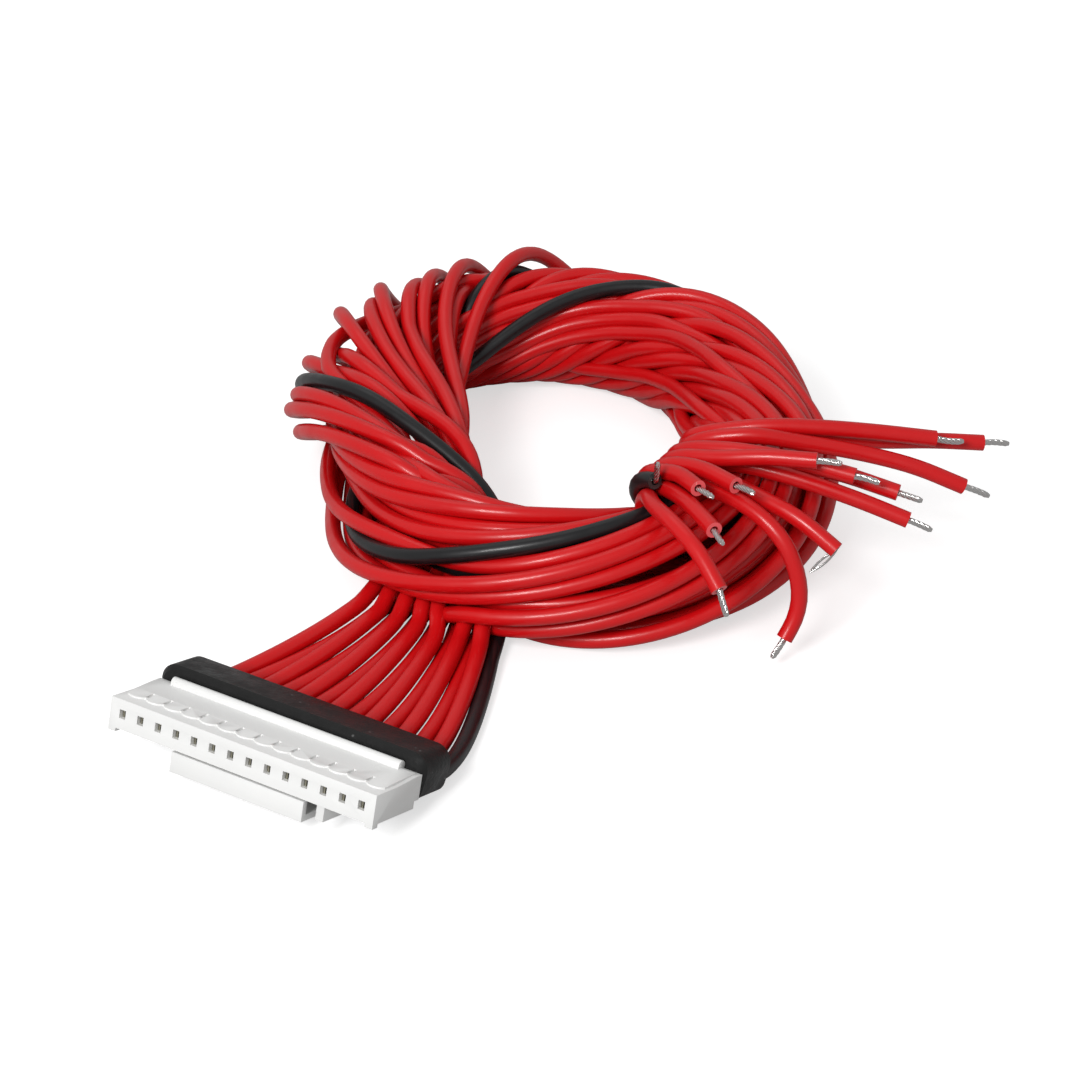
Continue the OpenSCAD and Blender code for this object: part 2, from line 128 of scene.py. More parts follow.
# Each wire's end, from where it leaves the ring: its slot along the ring's inside,
# its layer, the bends after that, and the tip of its bare end, all counted from the
# first slot. Three of the wires are shorter than the rest.
first_slot = np.array([12.4962, 41.5038, 12.8])
slot_pitch, layer_pitch = 1.75, 1.7
shorter_by = {12: 2, 13: 8, 14: 16}
wire_ends = [
    (6, 1, [(5.5, 13.1, 3.1), (9.5, 15.7, 3), (14.5, 19.1, 2.4), (19.5, 22.8, 1.4)],
     (21.8, 24.3, 1.1)),
    (6, 0, [(5.5, 14.7, 1.5), (9.5, 17.5, 1.3), (14, 20.6, 0.6), (18.5, 24.3, 0.2),
            (22.5, 27.4, -0.3)], (24.6, 28.9, -0.5)),
    (5, 1, [(5.5, 11, 3.1), (9.5, 13.8, 2.2), (14.2, 17, 1), (19, 19.5, -0.3), (23.3, 21.8, -2.3)],
     (25.5, 23, -3.3)),
    (3, 1, [(5.5, 5.4, 3.2), (9.5, 6.5, 4), (14.2, 8.2, 4.2)], (16.4, 9, 4.2)),
    (4, 1, [(5.5, 7.5, 3.1), (11.5, 9.1, 3), (17, 10.7, 2.2)], (19.3, 11.4, 1.8)),
    (5, 0, [(5.5, 10, 1.4), (9.5, 11.2, 1.3), (14.5, 12.7, 0.8), (20, 14.1, -0.3)],
     (22.3, 14.7, -0.8)),
    (4, 0, [(5.5, 8.1, 1.3), (9.5, 9.2, 1), (13.5, 10.4, 0.2), (17.5, 11.7, -0.9),
            (21.7, 13.1, -2.3)], (23.9, 13.8, -3.1)),
    (1, 1, [(3.5, 0.7, 3.1), (6.7, -1.1, 3.4)], (8.8, -2, 3.5)),
    (2, 1, [(4.5, 2.8, 3.1), (9.5, 1.1, 3.5)], (11.8, 0.5, 3.6)),
    (1, 0, [(1.9, 0.9, 1), (4.5, -0.7, 1.7), (7.5, -2.9, 2.2), (10.8, -5.2, 2.2)],
     (12.5, -6.5, 1.9)),
    (3, 0, [(5.5, 4.8, 1.3), (10.5, 3.8, 1.3), (15, 3.4, 0.5), (19.1, 3.4, -1.6)],
     (17.7, 0.9, -3.2)),
    (0, 0, [(1.3, -1.1, 0.9), (3, -3.1, 1.5), (6.9, -5.9, 2), (10.5, -7.6, 1), (13.7, -9.1, -1.3)],
     (14.9, -9.7, -3.4)),
    (2, 0, [(5.5, 2.7, 1.3), (11, 1.5, 1.2), (14.7, 1, -0.8), (16.5, 1, -4.5), (16.8, 0.5, -7.8),
            (16.3, -0.9, -10)], (15.9, -2.5, -11.4)),
    (0, 1, [(1.8, -0.7, 2.5)], (2.3, -1.1, 4.8))]
# The fan's order over the left wall, from the front, and how far each place in it
# stands proud of the wall and lies off its even distance from the next.
fan_order = [13, 12, 11, 10, 9, 8, 7, 6, 5, 4, 2, 1, 0, 3]
proud = [0.6, 1.1, 0.3, 0.3, 1.0, 0.4, 1.2, 0.5, 1.9, 0.4, 1.3, 2.0, 0.5, 2.8]
shift = [0.0, 1.2, -0.9, 0.0, 0.9, -0.7, 0.5, 1.1, -0.9, 0.9, -0.9, 0.4, -0.9, 0.6]
outer_lane = {5, 7, 9, 10, 11, 12, 13}
black_place, last_place = fan_order[black_way - 1], 13

# How fast a wire winds about the bundle, in degrees for each millimetre along it.
station_step = 0.5
stations = np.arange(0, 3.3 * lap, station_step)
black_winding = np.interp(
    stations, [46, 74, 82, 90, 150, 175, 295, 300, 316, 322, 368, 374, 388, 394, 440],
    [14, 14, 9, 3.9, 3.7, 2.9, 2.35, 1.5, 1.5, 3.2, 3.2, 5.6, 5.6, 2.2, 2.4])
red_winding = np.interp(
    stations, [46, 72, 84, 95, 150, 175, 295, 368, 374, 388, 394, 440],
    [8.5, 8.5, 7, 3.9, 3.7, 2.9, 2.6, 2.8, 3.8, 3.8, 2.4, 2.4])
black_wound, red_wound = (
    np.concatenate([[0], np.cumsum((rate[1:] + rate[:-1]) / 2 * station_step)])
    for rate in (black_winding, red_winding))


def bundle_shift(along):
    """How far outwards the bundle's middle lies from the ring's own circle."""
    return np.interp(np.mod(along, lap), [0, 13, 28, 40, 60, 85, 110, 130, lap],
                     [0.6, 1.1, 0.6, 0.7, 0.8, 0.7, 0.3, -0.1, 0.6])


def lane(place, along, outer):
    """A wire's distance from the bundle's middle, its inward shift, and the room it has."""
    if place == black_place:
        reach = np.interp(
            along, [52, 62, 86, 96, 106, 135, 144, 180, 192,
                    280, 292, 320, 332, 356, 366, 384, 416, 426],
            [6.6, 6.6, 6.8, 6.0, 3.2, 3.2, 7.8, 7.6, 1.0,
             1.0, 5.7, 5.7, 1.6, 1.6, 7.4, 7.5, 7.3, 3.0])
        inward = np.interp(
            along, [86, 106, 135, 146, 176, 190, 280, 292, 320, 332, 360, 370, 414, 425],
            [0, -2.4, -2.4, 0, 0, -2.8, -2.8, 0, 0, -2.8, -2.8, 0, 0, -2])
        room = np.interp(along, [60, 90, 100, 140, 145, 180, 186, 356, 366, 418, 425],
                         [8.0, 7.7, 0, 0, 8.6, 8.4, 0, 0, 8.2, 8.2, 0])
    elif place in outer_lane:
        reach = np.interp(along, [outer + 10, outer + 24, 150, 200, 290, 310, 335, 380, 460],
                          [5.9, 5.9, 5.9, 5.6, 5.4, 5.6, 4.0, 3.2, 2.4])
        if place == last_place:
            reach = reach - np.interp(along, [160, 172, 205, 225], [0, 1.5, 1.5, 0])
        inward = np.interp(along, [190, 220, 275, 300, 335, 360, 430],
                           [0, -0.6, -0.6, 0, -1.6, -2.2, -2.2])
        room = np.interp(along, [outer + 6, outer + 20], [6.8 + 0.7 * proud[place], 0.0])
    else:
        reach = np.interp(
            along, [outer + 10, outer + 24, 150, 176, 200, 280, 300, 315, 335, 380, 460],
            [5.9, 5.9, 5.9, 5.6, 3.6, 3.4, 5.0, 5.0, 2.2, 1.4, 1.2])
        inward = np.interp(along, [176, 205, 280, 300, 315, 340, 430],
                           [0, -2.4, -2.4, 0, 0, -3.2, -3.2])
        most = 6.0 if place < black_place + 2 else 6.8
        room = np.interp(along, [outer + 6, outer + 20], [most + 0.7 * proud[place], 0.0])
    bump = np.where(along < outer + 10,
                    0.7 * proud[place] * np.exp(-((along - outer + 1) / 5.5)**2), 0)
    return reach + bump, inward, room


contact_pitch, crimp_depth, sleeve_end, clear_of_sleeve = 2, 5.45, 11.7, 16.7
wall_start, wall_pitch, foot_start, foot_pitch = 23, 5.5, 46, 2.75
last_stretch, slot_step, anywhere = 142.5, 1.66, 99.0


def lay_wire(way):
    """One wire: its pinned lead, its free turns, their room, its pinned end."""
    # Out of the plug, under the ring's front and up inside its left wall.
    place, from_middle, upper = fan_order[way - 1], way - 7.5, way % 2
    x = from_middle * contact_pitch
    entry = np.array([-1.604 + from_middle * 1.15, 25.304, 0.85 + upper * 1.3])
    rise_at = np.array([-8.6 + 0.54 * (way - 1), 38.4, 1.6 + 1.6 * upper])
    under = np.array([0.55 * entry[0] + 0.45 * rise_at[0], 32, 0.9 + 1.6 * upper])
    leaving, ahead_of_plug = at_plug(x, sleeve_end), at_plug(x, clear_of_sleeve)
    ahead = (under - entry) / np.linalg.norm(under - entry)
    t = np.linspace(0, 1, 14)[:, None]
    lead = np.vstack([np.linspace(at_plug(x, crimp_depth), leaving, 5)[:-1],
                      (1 - t)**3 * leaving + 3 * (1 - t)**2 * t * ahead_of_plug
                      + 3 * (1 - t) * t * t * (entry - 7 * ahead) + t**3 * entry])
    slot, layer, bends, _ = wire_ends[way - 1]
    start_of_end = first_slot + [0, slot * slot_pitch, 0.2 + layer * layer_pitch]
    end = limp_run([start_of_end] + [first_slot + p for p in bends], 1.0)
    # Over the wall in the fan, then on round the ring, wound about the bundle.
    front_pivot_y = 39.5
    pivot_y = front_pivot_y + 0.95 * place
    pivot = np.array([-4.6 - 0.82 * (pivot_y - front_pivot_y), pivot_y,
                      5.6 + 1.6 * (place % 2)])
    top = wall_start + wall_pitch * place - 0.12 * place**2 + shift[place]
    outer = foot_start + foot_pitch * place + shift[place]
    fan_along = np.array([top - 4.5, top, top + 9 - 0.45 * place, outer])
    fan_angle = np.arange(140, -1, -10.0)
    over = np.interp(-fan_angle, -np.array([140, 100, 70, 0.0]), fan_along)
    over = np.convolve(np.pad(over, 2, "edge"), np.ones(5) / 5, "valid")
    last = 2 * lap + last_stretch - slot * slot_step
    rounds = np.arange(outer + 1.0, last, 1.0)
    wound = black_wound if place == black_place else red_wound
    wound_angle = np.interp(outer, stations, wound) - np.interp(rounds, stations, wound)
    along, angle = np.concatenate([over, rounds]), np.concatenate([fan_angle, wound_angle])
    reach, inward, room = lane(place, along, outer)
    out = reach * np.cos(np.radians(angle)) + inward + bundle_shift(along)
    up = reach * np.sin(np.radians(angle))
    # At the ring's front the lower outer strands sag outwards.
    past = np.mod(along + lap / 2, lap) - lap / 2
    low = (np.clip(np.sin(np.radians(-angle - 10)), 0, 1)
           * np.clip(np.cos(np.radians(angle)) + 0.2, 0, 1))
    out = out + np.where(along > 130, 1.8 * np.exp(-((past - 14) / 12)**2) * low, 0)
    # Over its last stretch the wire comes in to its slot on the ring's inside.
    near = np.clip((along - (last - 50)) / 46, 0, 1)
    near = near * near * (3 - 2 * near)
    out = out * (1 - near) + near * (-5.5 - 1.2 * layer)
    up = up * (1 - near) + near * (-1.5 + 0.3 * (slot - 3))
    turns = around_ring(along, out, up)
    rise = limp_run([entry, under, rise_at, pivot, turns[0], turns[4]], 1.5)
    rise = rise[:np.linalg.norm(rise - turns[0], axis=1).argmin()]
    onward = turns[-1] - turns[-2]
    onward /= np.linalg.norm(onward)
    t = np.linspace(0, 1, 10)[1:, None]
    across = ((1 - t)**3 * turns[-1]
              + 3 * (1 - t)**2 * t * (turns[-1] + onward * 4 + [0, 0, 1.5])
              + 3 * (1 - t) * t * t * (start_of_end - [5, 0, 2.5]) + t**3 * start_of_end)
    free = np.vstack([lead[-1:], rise[1:], turns, across[:-1], end[:1]])
    room = np.concatenate([np.full(len(rise), anywhere), room, np.full(len(across), anywhere)])
    return lead, free, room, end


def evenly(p, step, fewest=2, also=None):
    """The run again with even steps, and a value along it if there is one."""
    s = np.concatenate([[0], np.cumsum(np.linalg.norm(np.diff(p, axis=0), axis=1))])
    at = np.linspace(0, s[-1], max(fewest, int(round(s[-1] / step)) + 1))
    run = np.stack([np.interp(at, s, p[:, c]) for c in range(3)], 1)
    return run if also is None else (run, np.interp(at, s, also))


def nearest(p0, p1, q0, q1):
    """Where pieces p0-p1 and q0-q1 of two wires are nearest, and from q to p there."""
    d1, d2, r = p1 - p0, q1 - q0, p0 - q0
    a, e, b = (d1 * d1).sum(1), (d2 * d2).sum(1), (d1 * d2).sum(1)
    f, c = (d2 * r).sum(1), (d1 * r).sum(1)
    det = a * e - b * b
    s = np.clip(np.where(det > 1e-9, (b * f - c * e) / np.maximum(det, 1e-9), 0.5), 0, 1)
    t = np.clip((b * s + f) / e, 0, 1)
    s = np.clip((b * t - c) / a, 0, 1)
    return s, t, (p0 + d1 * s[:, None]) - (q0 + d2 * t[:, None])


def settle(wires, pinned, room, longest, rounds):
    """Lets the wires push one another apart until they lie side by side on the table."""
    smoothings, neighbours_kept, neighbour_gap = 12, 8, 2.5
    overshoot, springiness, wall_hold = 1.3, 0.35, 0.45
    bend_rounds, tightest_bend, unbending = 60, 4.2, 0.3
    count = [len(x) for x in wires]
    first = np.concatenate([[0], np.cumsum(count)])
    x, room = np.vstack(wires).copy(), np.concatenate(room)
    free = (~np.concatenate(pinned)).astype(float)
    piece = np.concatenate([np.arange(first[i], first[i + 1] - 1) for i in range(len(count))])
    owner = np.concatenate([[i] * (n - 1) for i, n in enumerate(count)])
    length = np.linalg.norm(x[piece + 1] - x[piece], axis=1)
    for i in range(len(count)):
        mine = owner == i
        loose = mine & ((free[piece] + free[piece + 1]) > 0)
        goal = longest - shorter_by.get(i + 1, 0)
        if length[mine].sum() > goal:
            length[loose] *= (goal - length[mine & ~loose].sum()) / length[loose].sum()
    moving = free > 0
    moving[first[:-1]] = moving[first[1:] - 1] = False
    idx = np.where(moving)[0]
    for _ in range(smoothings):
        x[idx] += 0.5 * ((x[idx - 1] + x[idx + 1]) / 2 - x[idx])
    before = x.copy()
    every_other = (piece - first[owner]) % 2 == 0
    length_at = np.zeros(len(x))
    length_at[piece] = length
    for turn in range(rounds):
        # Stretches that are too near each other push each other apart.
        if turn % neighbours_kept == 0:
            m = ((x[piece] + x[piece + 1]) / 2).astype(np.float32)
            sq = (m * m).sum(1)
            apart = sq[:, None] + sq - 2 * m @ m.T
            i, j = np.nonzero(np.triu(apart < (wire_thickness + neighbour_gap)**2, 1))
            other = (owner[i] != owner[j]) | (np.abs(i - j) > 3)
            other &= (free[piece[i]] + free[piece[i] + 1] + free[piece[j]] + free[piece[j] + 1]) > 0
            near_a, near_b = piece[i[other]], piece[j[other]]
        s, t, gap = nearest(x[near_a], x[near_a + 1], x[near_b], x[near_b + 1])
        d = np.linalg.norm(gap, axis=1)
        hit = d < wire_thickness
        a, b, s, t, gap = near_a[hit], near_b[hit], s[hit], t[hit], gap[hit]
        d = np.maximum(d[hit], 1e-6)
        give = (free[a] * (1 - s)**2 + free[a + 1] * s**2
                + free[b] * (1 - t)**2 + free[b + 1] * t**2)
        push = ((wire_thickness - d) / np.maximum(give, 0.25) / d)[:, None] * gap
        total, touches = np.zeros_like(x), np.zeros(len(x))
        for at, weight, side in ((a, free[a] * (1 - s), 1), (a + 1, free[a + 1] * s, 1),
                                 (b, free[b] * (1 - t), -1), (b + 1, free[b + 1] * t, -1)):
            for c in range(3):
                total[:, c] += np.bincount(at, side * weight * push[:, c], len(x))
            touches += np.bincount(at, (weight > 0.05).astype(float), len(x))
        x += total / np.maximum(touches, 1)[:, None] * overshoot
        # Each wire keeps its length, and springs back from kinks.
        for part in (piece[every_other], piece[~every_other]) * 2:
            d3 = x[part + 1] - x[part]
            d = np.linalg.norm(d3, axis=1)
            both = free[part] + free[part + 1]
            pull = np.where(both > 0, (d - length_at[part]) / np.maximum(both, 1) / d, 0)
            pull = pull[:, None] * d3
            x[part] += free[part][:, None] * pull
            x[part + 1] -= free[part + 1][:, None] * pull
        moved = x - before
        eased = moved.copy()
        eased[idx] += springiness * ((moved[idx - 1] + moved[idx + 1]) / 2 - moved[idx])
        x = before + eased
        # What stands off too far is drawn back to the bundle, and none is under the table.
        away, out, up, along = place_in_ring(x)
        wall = np.interp(along, [0, 20, 32, 44, 80, 100, 125, lap],
                         [6.2, 6.2, 5.6, 5.1, 5.7, 6.4, 5.8, 6.2])
        wall = np.maximum(wall, room)
        out = out - bundle_shift(along)
        r = np.hypot(out, up)
        far = (r > wall) & (free > 0)
        back = (wall[far] / r[far] - 1) * wall_hold
        x[far, :2] += away[far] * (out[far] * back)[:, None]
        x[far, 2] += up[far] * back
        x[:, 2] = np.where((x[:, 2] < wire_thickness / 2) & (free > 0), wire_thickness / 2, x[:, 2])
    # Bends too tight for such a wire open up.
    bendable = np.concatenate([np.arange(first[i] + 5, first[i + 1] - 2)
                               for i in range(len(count))])
    for _ in range(bend_rounds):
        u, v = x[bendable] - x[bendable - 1], x[bendable + 1] - x[bendable]
        lu, lv = np.linalg.norm(u, axis=1), np.linalg.norm(v, axis=1)
        bend = np.arccos(np.clip((u * v).sum(1) / lu / lv, -1, 1))
        j = bendable[(lu + lv) / 2 / np.maximum(bend, 1e-6) < tightest_bend]
        x[j] += unbending * ((x[j - 1] + x[j + 1]) / 2 - x[j])
    return [x[first[i]:first[i + 1]] for i in range(len(count))]


wires, pinned, room = [], [], []
coarse_step, fine_step = 2.0, 1.0
for way in ways:
    lead, free_run, free_room, end = lay_wire(way)
    lead, end = evenly(lead, coarse_step), evenly(end, coarse_step, fewest=3)
    free_run, free_room = evenly(free_run, coarse_step, also=free_room)
    wires.append(np.vstack([lead, free_run[1:-1], end]))
    held = np.ones(len(wires[-1]), bool)
    held[len(lead):-len(end)] = False
    pinned.append(held)
    room.append(np.concatenate([np.full(len(lead), anywhere), free_room[1:-1],
                                np.full(len(end), anywhere)]))
wires = settle(wires, pinned, room, longest=488, rounds=350)


# ---- Bare ends ----
# Each wire's core is a bundle of fine copper strands, twisted and dipped in tin,
# and stands 2 to 3 mm out of the cut insulation. One bundle's strands have sprung
# apart. They are swept along their run with a fluted, turning section.
def add(tree, kind, inputs=None, **settings):
    """A node with its settings, and its inputs as values or as links."""
    node = tree.nodes.new(kind)
    for key, value in settings.items():
        setattr(node, key, value)
    for key, value in (inputs or {}).items():
        if isinstance(value, bpy.types.NodeSocket):
            tree.links.new(value, node.inputs[key])
        else:
            node.inputs[key].default_value = value
    return node


def shape_tree(name, sizes):
    """An empty shape tree with named inputs; returns it with its group input."""
    tree = bpy.data.node_groups.new(name, "GeometryNodeTree")
    tree.interface.new_socket("Geometry", in_out="INPUT", socket_type="NodeSocketGeometry")
    for label, kind in sizes.items():
        tree.interface.new_socket(label, in_out="INPUT", socket_type="NodeSocket" + kind)
    tree.interface.new_socket("Geometry", in_out="OUTPUT", socket_type="NodeSocketGeometry")
    return tree, tree.nodes.new("NodeGroupInput").outputs


def close_tree(tree, geometry, material):
    """Ends a shape tree: its shape made real, in its one material."""
    whole = add(tree, "GeometryNodeRealizeInstances", {"Geometry": geometry})
    done = add(tree, "GeometryNodeSetMaterial",
               {"Geometry": whole.outputs[0], "Material": material})
    add(tree, "NodeGroupOutput", {"Geometry": done.outputs[0]})


def times(tree, one, other):
    return add(tree, "ShaderNodeMath", {0: one, 1: other}, operation="MULTIPLY").outputs[0]


def spread(tree, value, low, high, least, most):
    """A value that lies between low and high, spread over least to most."""
    return add(tree, "ShaderNodeMapRange",
               {0: value, 1: low, 2: high, 3: least, 4: most}).outputs[0]


def grown(name, tree, start_mesh, values):
    """A piece grown by a shape tree from its start mesh, as a plain mesh."""
    base = bpy.data.objects.new(name + "_start", start_mesh)
    scene.collection.objects.link(base)
    growth = base.modifiers.new("growth", "NODES")
    growth.node_group = tree
    for socket in tree.interface.items_tree:
        if socket.in_out == "INPUT" and socket.name in values:
            growth[socket.identifier] = values[socket.name]
    bpy.context.view_layer.update()
    shaped = base.evaluated_get(bpy.context.evaluated_depsgraph_get())
    mesh = bpy.data.meshes.new_from_object(shaped)
    base.modifiers.remove(growth)
    bpy.data.objects.remove(base)
    mesh.name = name
    piece = bpy.data.objects.new(name, mesh)
    scene.collection.objects.link(piece)
    return piece


def run_mesh(name, *runs):
    """Lines through points given in millimetres."""
    mesh = bpy.data.meshes.new(name + "_run")
    points, edges = [], []
    for run in runs:
        edges += [(len(points) + i, len(points) + i + 1) for i in range(len(run) - 1)]
        points += [tuple(p) for p in np.asarray(run) / 1000]
    mesh.from_pydata(points, edges, [])
    return mesh


def surface(name, colour, gloss, **more):
    """A material with its plain finish; returns it, its tree and its shader."""
    material = bpy.data.materials.new(name)
    material.use_nodes = True
    shader = material.node_tree.nodes["Principled BSDF"]
    shader.inputs["Base Color"].default_value = (*colour, 1)
    shader.inputs["Roughness"].default_value = gloss
    for key, value in more.items():
        shader.inputs[key.replace("_", " ")].default_value = value
    return material, material.node_tree, shader


def effect(name, inputs, outputs):
    """An empty shader group with named values in and out."""
    tree = bpy.data.node_groups.new(name, "ShaderNodeTree")
    for label, value in inputs.items():
        socket = tree.interface.new_socket(label, in_out="INPUT", socket_type="NodeSocketFloat")
        socket.default_value = value
    for label in outputs:
        tree.interface.new_socket(label, in_out="OUTPUT", socket_type="NodeSocketFloat")
    return tree, tree.nodes.new("NodeGroupInput").outputs


handling, given = effect("handling_marks", {"Size": 300.0, "Low": 0.3, "High": 0.4}, ["Gloss"])
spot = add(handling, "ShaderNodeTexCoord")
cloud = add(handling, "ShaderNodeTexNoise", {"Vector": spot.outputs["Object"],
                                             "Scale": given["Size"], "Detail": 4.0,
                                             "Roughness": 0.6})
level = spread(handling, cloud.outputs[0], 0.35, 0.65, given["Low"], given["High"])
add(handling, "NodeGroupOutput", {"Gloss": level})

grain, given = effect("moulded_grain", {"Size": 6000.0, "Height": 0.00001}, ["Height"])
spot = add(grain, "ShaderNodeTexCoord")
fine = add(grain, "ShaderNodeTexNoise", {"Vector": spot.outputs["Object"],
                                         "Scale": given["Size"], "Detail": 3.0})
add(grain, "NodeGroupOutput", {"Height": times(grain, fine.outputs[0], given["Height"])})


def handled(tree, shader, size, low, high):
    """Gloss in soft patches, as handling leaves it."""
    marks = add(tree, "ShaderNodeGroup", node_tree=handling)
    for key, value in (("Size", size), ("Low", low), ("High", high)):
        marks.inputs[key].default_value = value
    tree.links.new(marks.outputs["Gloss"], shader.inputs["Roughness"])


def grained(tree, shader, size, height, strength):
    """A fine relief, as the mould, the die or the tin bath leaves it."""
    relief = add(tree, "ShaderNodeGroup", node_tree=grain)
    relief.inputs["Size"].default_value, relief.inputs["Height"].default_value = size, height
    bump = add(tree, "ShaderNodeBump", {"Height": relief.outputs["Height"],
                                        "Strength": strength, "Distance": 1.0})
    tree.links.new(bump.outputs["Normal"], shader.inputs["Normal"])


tinned, tree, shader = surface("tinned_copper", (0.60, 0.59, 0.58), 0.2, Metallic=1.0)
handled(tree, shader, size=2500.0, low=0.10, high=0.28)
grained(tree, shader, size=3000.0, height=0.000008, strength=1.0)

section_corners = 42
strands, given = shape_tree("tinned_strands", {"Thickness": "Float", "Strands": "Int",
                                               "Twist": "Float", "Tin": "Material"})
run = add(strands, "GeometryNodeMeshToCurve", {"Mesh": given["Geometry"]})
steps = add(strands, "GeometryNodeResampleCurve", {"Curve": run.outputs[0], "Count": 22})
reach = add(strands, "GeometryNodeSplineParameter")
turned = add(strands, "GeometryNodeSetCurveTilt",
             {"Curve": steps.outputs[0],
              "Tilt": times(strands, reach.outputs["Length"], given["Twist"])})
taper = spread(strands, reach.outputs["Factor"], 0.9, 1.0, 1.0, 0.6)
section = add(strands, "GeometryNodeCurvePrimitiveCircle",
              {"Resolution": section_corners, "Radius": times(strands, given["Thickness"], 0.5)})
corner = add(strands, "GeometryNodeInputIndex")
flute_angle = times(strands, given["Strands"], math.pi / section_corners)
flute = times(strands, corner.outputs[0], flute_angle)
wave = add(strands, "ShaderNodeMath", {0: flute}, operation="SINE")
lobe = add(strands, "ShaderNodeMath", {0: wave.outputs[0]}, operation="ABSOLUTE")
where = add(strands, "GeometryNodeInputPosition")
fluted = add(strands, "ShaderNodeVectorMath",
             {0: where.outputs[0], "Scale": spread(strands, lobe.outputs[0], 0.0, 1.0, 0.72, 1.0)},
             operation="SCALE")
section = add(strands, "GeometryNodeSetPosition",
              {"Geometry": section.outputs[0], "Position": fluted.outputs[0]})
body = add(strands, "GeometryNodeCurveToMesh",
           {"Curve": turned.outputs[0], "Profile Curve": section.outputs[0],
            "Scale": taper, "Fill Caps": True})
soft = add(strands, "GeometryNodeSetShadeSmooth",
           {"Geometry": body.outputs[0], "Shade Smooth": True})
close_tree(strands, soft.outputs[0], given["Tin"])

sprung_way, sprung_aside, covered_length = 11, (-0.35, 0.3), 0.8
bundle_thickness, strand_thickness = 0.00062, 0.00024
bend_choice = np.random.default_rng(14)
for way in ways:
    cut = wires[way - 1][-1]
    tip = first_slot + wire_ends[way - 1][3]
    last_piece = cut - wires[way - 1][-2]
    inside = cut - covered_length * last_piece / np.linalg.norm(last_piece)
    sag = bend_choice.normal(0, 0.12, 3)
    t = np.linspace(0, 1, 8)[1:, None]
    out = cut + (tip - cut) * t + sag * t * (1 - t) * 2
    runs, thickness = [np.vstack([inside, cut, out])], bundle_thickness
    if way == sprung_way:
        aside = np.cross(tip - cut, [0, 0, 1])
        aside = aside / np.linalg.norm(aside) * np.sin(math.pi * t)
        runs = [np.vstack([inside, cut, cut + (tip - cut) * t + aside * spring])
                for spring in sprung_aside]
        thickness = strand_thickness
    name = "bare_end_strands_%02d" % way
    piece = grown(name, strands, run_mesh(name, *runs),
                  {"Thickness": thickness, "Strands": 7, "Twist": 1700.0, "Tin": tinned})
    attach(piece, "root")
    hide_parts("bare_end_%02d" % way)

# ---- Insulated wires ----
# Soft, glossy vinyl is drawn over the strands: thirteen red wires and one black.
# The cut end of each is a square face with the core's hole in its middle; the face's ring is
# painted lighter than the vinyl, a painted highlight.
drawn, given = shape_tree("drawn_insulation", {"Thickness": "Float", "Sides": "Int",
                                               "Hole": "Float", "Hole depth": "Float",
                                               "Insulation": "Material"})
run = add(drawn, "GeometryNodeMeshToCurve", {"Mesh": given["Geometry"]})
reach = add(drawn, "GeometryNodeSplineParameter")
run = add(drawn, "GeometryNodeStoreNamedAttribute",
          {"Geometry": run.outputs[0], "Name": "along_wire", "Value": reach.outputs["Length"]},
          domain="POINT")
section = add(drawn, "GeometryNodeCurvePrimitiveCircle",
              {"Resolution": given["Sides"], "Radius": times(drawn, given["Thickness"], 0.5)})
skin = add(drawn, "GeometryNodeCurveToMesh",
           {"Curve": run.outputs[0], "Profile Curve": section.outputs[0], "Fill Caps": True})
soft = add(drawn, "GeometryNodeSetShadeSmooth",
           {"Geometry": skin.outputs[0], "Shade Smooth": True})
side_corners = 4
corners = add(drawn, "GeometryNodeInputMeshFaceNeighbors")
cap = add(drawn, "FunctionNodeCompare", {2: corners.outputs[0], 3: side_corners},
          data_type="INT", operation="GREATER_THAN")
face = add(drawn, "GeometryNodeExtrudeMesh",
           {"Mesh": soft.outputs[0], "Selection": cap.outputs[0],
            "Offset Scale": 0.0, "Individual": False})
ring = add(drawn, "GeometryNodeScaleElements",
           {"Geometry": face.outputs[0], "Selection": face.outputs["Top"],
            "Scale": given["Hole"]})
hole = add(drawn, "GeometryNodeExtrudeMesh",
           {"Mesh": ring.outputs[0], "Selection": face.outputs["Top"],
            "Offset Scale": times(drawn, given["Hole depth"], -1.0), "Individual": False})
flat = add(drawn, "GeometryNodeSetShadeSmooth",
           {"Geometry": hole.outputs[0], "Selection": face.outputs["Side"],
            "Shade Smooth": False})
cut_face = add(drawn, "GeometryNodeStoreNamedAttribute",
               {"Geometry": flat.outputs[0], "Name": "cut_face", "Value": face.outputs["Side"]},
               domain="FACE")
close_tree(drawn, cut_face.outputs[0], given["Insulation"])


def between(tree, share, one, other):
    """A colour between two, by a share from 0 to 1."""
    mix = add(tree, "ShaderNodeMix", {0: share, 6: one, 7: other}, data_type="RGBA")
    return mix.outputs[2]


def vinyl(name, colour, deep, cut_face_painted_highlight, gloss):
    """Soft wire insulation: its tone drifts a little along the wire, its gloss with handling, and
    its cut face is painted lighter as a painted highlight.
    """
    material, tree, shader = surface(name, colour, gloss, Specular_IOR_Level=0.36, Coat_Weight=0.16,
                                     Coat_Roughness=0.12)
    along = add(tree, "ShaderNodeAttribute", attribute_name="along_wire")
    drift = add(tree, "ShaderNodeTexNoise",
                {"W": along.outputs["Fac"], "Scale": 60.0, "Detail": 3.0},
                noise_dimensions="1D")
    tone = between(tree, drift.outputs[0], (*deep, 1), (*colour, 1))
    cut_here = add(tree, "ShaderNodeAttribute", attribute_name="cut_face")
    # The cut face's ring gets a lighter colour than the vinyl: a painted highlight.
    whole = between(tree, cut_here.outputs["Fac"], tone, (*cut_face_painted_highlight, 1))
    tree.links.new(whole, shader.inputs["Base Color"])
    handled(tree, shader, size=420.0, low=gloss - 0.05, high=gloss + 0.09)
    grained(tree, shader, size=1400.0, height=0.000012, strength=0.6)
    return material


